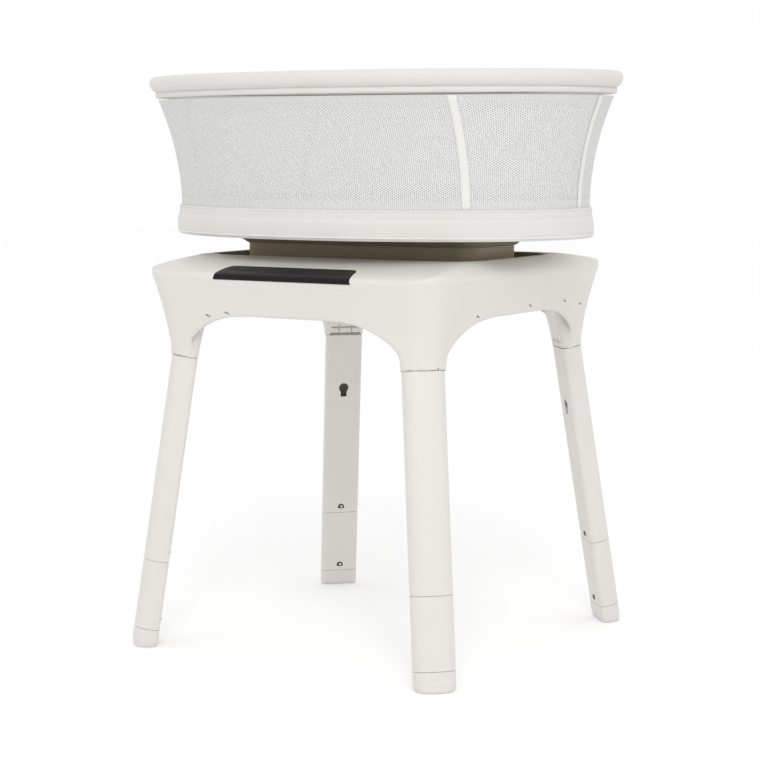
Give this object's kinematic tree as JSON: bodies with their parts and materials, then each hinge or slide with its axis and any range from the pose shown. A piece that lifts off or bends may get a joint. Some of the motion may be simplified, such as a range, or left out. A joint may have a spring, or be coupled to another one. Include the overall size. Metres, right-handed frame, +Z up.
{
  "type": "bassinet on motorised stand",
  "caption": "Oval mesh-sided bassinet basket with a padded rim on a white square stand with splayed legs; the drive in its hub sways the basket sideways and lifts it, and the basket lifts off",
  "frame": {"origin": "on the floor under the middle of the stand, which is the bottom centre of the bounding box", "axes": "+Z up; +X along the basket's length; -Y is the front, where the control panel is"},
  "size_m": [0.83, 0.6034, 0.91],
  "materials": {
    "shell_white": "fine satin moulded plastic, warm white",
    "leg_white": "satin moulded plastic, warm white",
    "cover_white": "satin moulded plastic",
    "button_white": "satin plastic",
    "pad_rubber": "soft grey rubber",
    "steel": "zinc plated",
    "taupe_plastic": "fine grained plastic, dark taupe",
    "black_gloss": "high gloss black",
    "circuit_board": "solder mask",
    "black_plastic": "satin black",
    "motor_metal": "plated steel can",
    "aluminium_frame": "mill finish",
    "board": "hardboard",
    "white_fabric": "fine plain-weave polyester, warm white",
    "mesh_fabric": "see-through knitted mesh, warm white",
    "tape_fabric": "woven seam tape, white",
    "mattress_fabric": "knitted cotton cover, warm white"
  },
  "bodies": {
    "stand": {"hub_shell": "shell_white", "hub_underside": "cover_white", "cover_screws": "steel", "recess_liner": "taupe_plastic", "liner_posts": "steel", "control_glass": "black_gloss", "control_board": "circuit_board", "main_board": "circuit_board", "power_inlet": "black_plastic", "drive_tray": "steel", "sway_rails": "steel", "rail_blocks": "steel", "motor_cradle": "steel", "sway_motor": "motor_metal", "foot_pads": "pad_rubber", "leg_upper_front_left": "leg_white", "leg_lower_front_left": "leg_white", "foot_cap_front_left": "leg_white", "leg_upper_front_right": "leg_white", "leg_lower_front_right": "leg_white", "foot_cap_front_right": "leg_white", "leg_upper_back_right": "leg_white", "leg_lower_back_right": "leg_white", "foot_cap_back_right": "leg_white", "leg_upper_back_left": "leg_white", "leg_lower_back_left": "leg_white", "foot_cap_back_left": "leg_white"},
    "carriage": {"sway_carriage": "aluminium_frame", "lift_posts": "steel", "lift_motor": "motor_metal"},
    "sway_gear": {"sway_pinion": "motor_metal"},
    "tower": {"lift_frame": "aluminium_frame", "tower_shroud": "taupe_plastic", "mount_plate": "taupe_plastic"},
    "lift_gear": {"lift_pinion": "motor_metal"},
    "basket": {"basket_pan": "taupe_plastic", "floor_fabric": "white_fabric", "floor_board": "board", "skirt_band": "white_fabric", "lower_binding": "white_fabric", "skirt_piping": "white_fabric", "mesh_back_long": "mesh_fabric", "mesh_back_short": "mesh_fabric", "mesh_front_long": "mesh_fabric", "mesh_front_short": "mesh_fabric", "seam_tapes": "tape_fabric", "rim_binding": "white_fabric", "rim_tube": "aluminium_frame", "rim_cover": "white_fabric"},
    "mattress_body": {"mattress": "mattress_fabric"},
    "leg_button_front_left_body": {"leg_button_front_left": "button_white"},
    "leg_button_front_right_body": {"leg_button_front_right": "button_white"},
    "leg_button_back_right_body": {"leg_button_back_right": "button_white"},
    "leg_button_back_left_body": {"leg_button_back_left": "button_white"},
    "foot_button_front_left_body": {"foot_button_front_left": "button_white"},
    "foot_button_front_right_body": {"foot_button_front_right": "button_white"},
    "foot_button_back_right_body": {"foot_button_back_right": "button_white"},
    "foot_button_back_left_body": {"foot_button_back_left": "button_white"}
  },
  "joints": [
    {"name": "sway", "type": "slide", "parent": "stand", "child": "carriage", "axis": [0, 1, 0], "range_m": [-0.038, 0.038]},
    {"name": "sway_gear_spin", "type": "hinge", "parent": "stand", "child": "sway_gear", "pos_m": [0, 0, 0.55495], "axis": [1, 0, 0], "range_deg": [-313, 313]},
    {"name": "lift", "type": "slide", "parent": "carriage", "child": "tower", "axis": [0, 0, 1], "range_m": [0, 0.03]},
    {"name": "lift_gear_spin", "type": "hinge", "parent": "carriage", "child": "lift_gear", "pos_m": [0, 0, 0.606], "axis": [1, 0, 0], "range_deg": [-1, 192]},
    {"name": "basket_liftoff", "type": "slide", "parent": "tower", "child": "basket", "axis": [0, 0, 1], "range_m": [0, 0.15]},
    {"name": "mattress_liftout", "type": "slide", "parent": "basket", "child": "mattress_body", "axis": [0, 0, 1], "range_m": [0, 0.3]},
    {"name": "leg_button_front_left_press", "type": "slide", "parent": "stand", "child": "leg_button_front_left_body", "axis": [-0.6987, -0.6987, 0.1541], "range_m": [0, 0.0042], "stiffness_N_per_m": 1200, "springref_m": -0.002},
    {"name": "leg_button_front_right_press", "type": "slide", "parent": "stand", "child": "leg_button_front_right_body", "axis": [0.6987, -0.6987, 0.1541], "range_m": [0, 0.0042], "stiffness_N_per_m": 1200, "springref_m": -0.002},
    {"name": "leg_button_back_right_press", "type": "slide", "parent": "stand", "child": "leg_button_back_right_body", "axis": [0.6987, 0.6987, 0.1541], "range_m": [0, 0.0042], "stiffness_N_per_m": 1200, "springref_m": -0.002},
    {"name": "leg_button_back_left_press", "type": "slide", "parent": "stand", "child": "leg_button_back_left_body", "axis": [-0.6987, 0.6987, 0.1541], "range_m": [0, 0.0042], "stiffness_N_per_m": 1200, "springref_m": -0.002},
    {"name": "foot_button_front_left_press", "type": "slide", "parent": "stand", "child": "foot_button_front_left_body", "axis": [-0.6987, -0.6987, 0.1541], "range_m": [0, 0.0042], "stiffness_N_per_m": 1200, "springref_m": -0.002},
    {"name": "foot_button_front_right_press", "type": "slide", "parent": "stand", "child": "foot_button_front_right_body", "axis": [0.6987, -0.6987, 0.1541], "range_m": [0, 0.0042], "stiffness_N_per_m": 1200, "springref_m": -0.002},
    {"name": "foot_button_back_right_press", "type": "slide", "parent": "stand", "child": "foot_button_back_right_body", "axis": [0.6987, 0.6987, 0.1541], "range_m": [0, 0.0042], "stiffness_N_per_m": 1200, "springref_m": -0.002},
    {"name": "foot_button_back_left_press", "type": "slide", "parent": "stand", "child": "foot_button_back_left_body", "axis": [-0.6987, 0.6987, 0.1541], "range_m": [0, 0.0042], "stiffness_N_per_m": 1200, "springref_m": -0.002}
  ],
  "couplings": [
    {"joint": "sway_gear_spin", "follows": "sway", "rad_per_m": -142.86},
    {"joint": "lift_gear_spin", "follows": "lift", "rad_per_m": 111.11}
  ]
}
